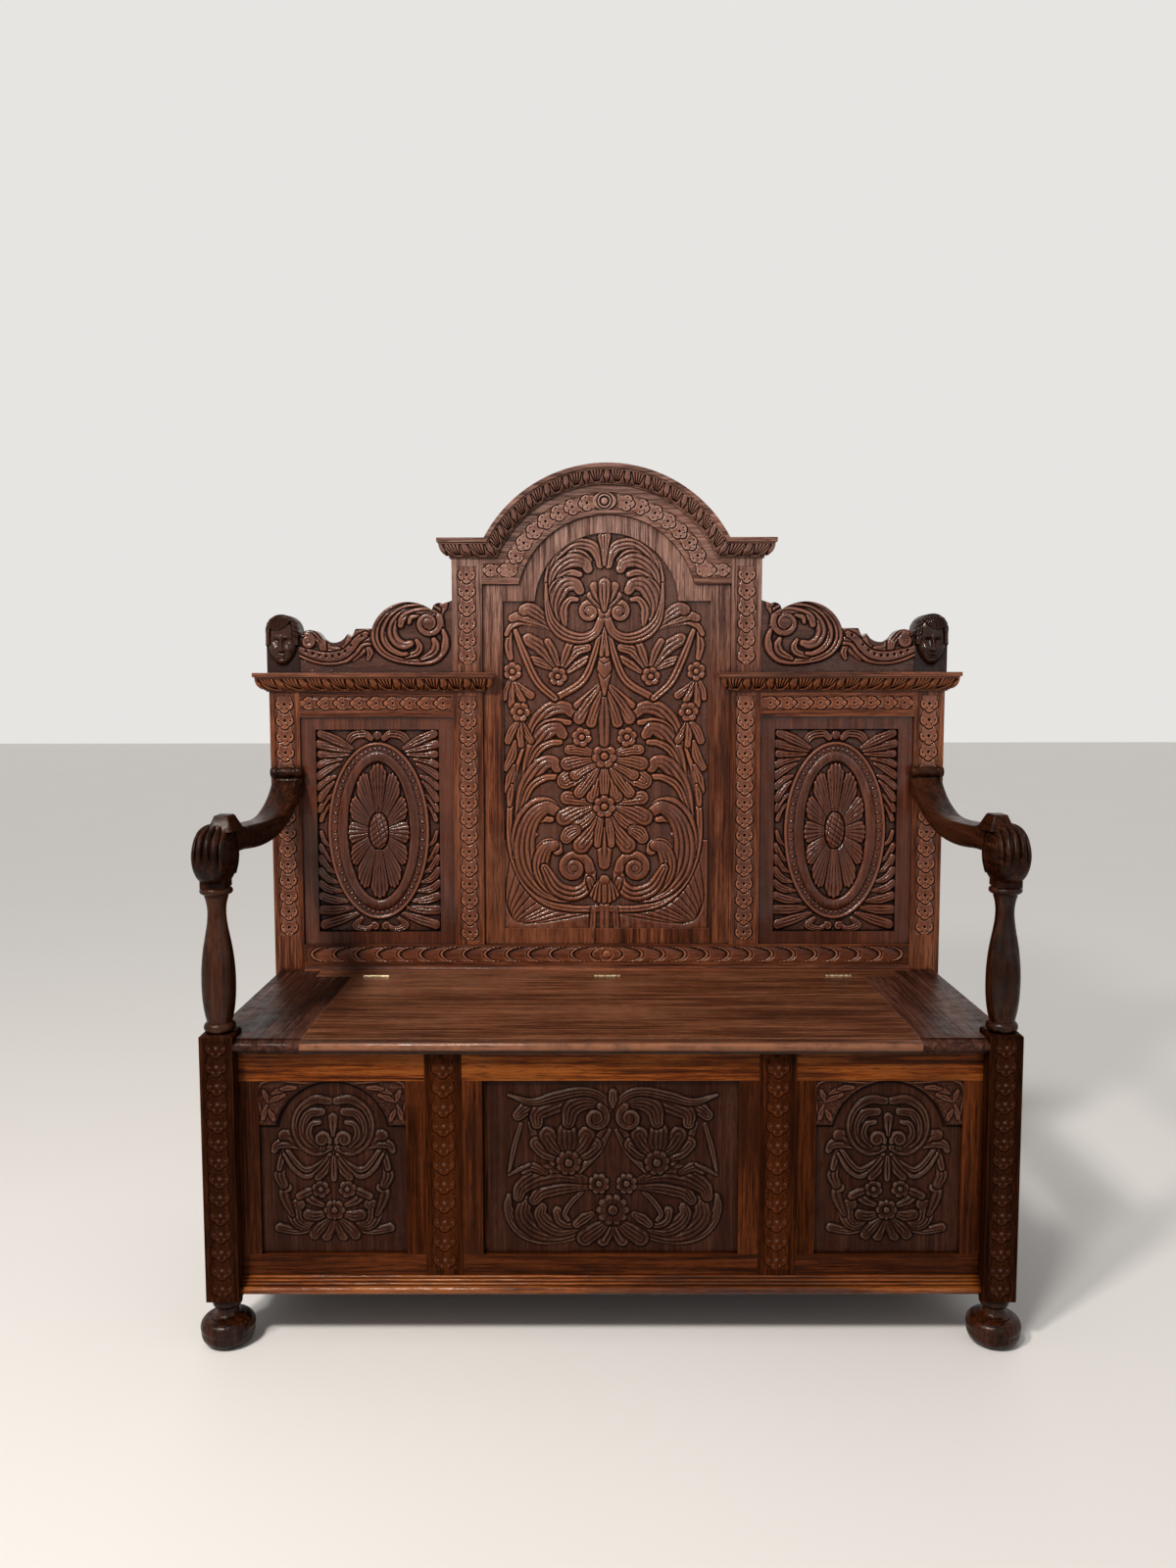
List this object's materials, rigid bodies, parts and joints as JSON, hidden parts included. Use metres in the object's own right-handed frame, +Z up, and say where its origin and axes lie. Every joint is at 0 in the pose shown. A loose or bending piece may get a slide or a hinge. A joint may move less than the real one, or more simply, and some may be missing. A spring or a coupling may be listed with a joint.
{
  "type": "hall bench",
  "caption": "Carved oak hall bench with an arched panelled back, turned arm posts, scrolled arms and a chest under the hinged seat lid.",
  "frame": {"origin": "on the floor under the middle of the bench's box", "axes": "+Z up, the seat faces -Y, +X to the right as seen from the front"},
  "size_m": [1.386, 0.5485, 1.5165],
  "materials": {
    "oak_dark": "dark stained oak, waxed",
    "oak_warm": "warm brown oak, waxed and worn",
    "oak_carved": "red-brown carved oak, waxed",
    "oak_plain": "plain oak boards, matt",
    "hinge_brass": "aged brass"
  },
  "bodies": {
    "bench": {"arch_cornice": "oak_carved", "arch_head_left": "oak_dark", "arch_head_right": "oak_dark", "arch_rail": "oak_carved", "arm_left": "oak_dark", "arm_right": "oak_dark", "back_post_left": "oak_carved", "back_post_right": "oak_carved", "back_rail": "oak_carved", "baluster_left": "oak_dark", "baluster_right": "oak_dark", "base_moulding": "oak_warm", "bun_foot_left": "oak_dark", "bun_foot_right": "oak_dark", "centre_panel": "oak_carved", "chest_back": "oak_plain", "chest_end_left": "oak_plain", "chest_end_right": "oak_plain", "chest_floor": "oak_plain", "crest_left": "oak_carved", "crest_right": "oak_carved", "frieze_rail_left": "oak_carved", "frieze_rail_right": "oak_carved", "front_bottom_rail_centre": "oak_warm", "front_bottom_rail_left": "oak_warm", "front_bottom_rail_right": "oak_warm", "front_centre_stile_left": "oak_warm", "front_centre_stile_right": "oak_warm", "front_inner_stile_left": "oak_warm", "front_inner_stile_right": "oak_warm", "front_leg_left": "oak_dark", "front_leg_right": "oak_dark", "front_outer_stile_left": "oak_warm", "front_outer_stile_right": "oak_warm", "front_panel_centre": "oak_dark", "front_panel_left": "oak_dark", "front_panel_right": "oak_dark", "front_top_rail_centre": "oak_warm", "front_top_rail_left": "oak_warm", "front_top_rail_right": "oak_warm", "hinge_fixed_leaves": "hinge_brass", "hinge_pins": "hinge_brass", "inner_stile_left": "oak_carved", "inner_stile_right": "oak_carved", "lower_cornice_left": "oak_carved", "lower_cornice_right": "oak_carved", "muntin_left": "oak_dark", "muntin_right": "oak_dark", "oval_panel_left": "oak_carved", "oval_panel_right": "oak_carved", "post_head_left": "oak_dark", "post_head_right": "oak_dark", "seat_back_strip": "oak_warm", "seat_side_left": "oak_dark", "seat_side_right": "oak_dark"},
    "lid": {"lid_board": "oak_warm", "lid_clamp_left": "oak_dark", "lid_clamp_right": "oak_dark", "hinge_lid_leaves": "hinge_brass"}
  },
  "joints": [
    {"name": "lid_hinge", "type": "hinge", "parent": "bench", "child": "lid", "pos_m": [0, 0.16975, 0.5195], "axis": [-1, 0, 0], "range_deg": [0, 97]}
  ]
}
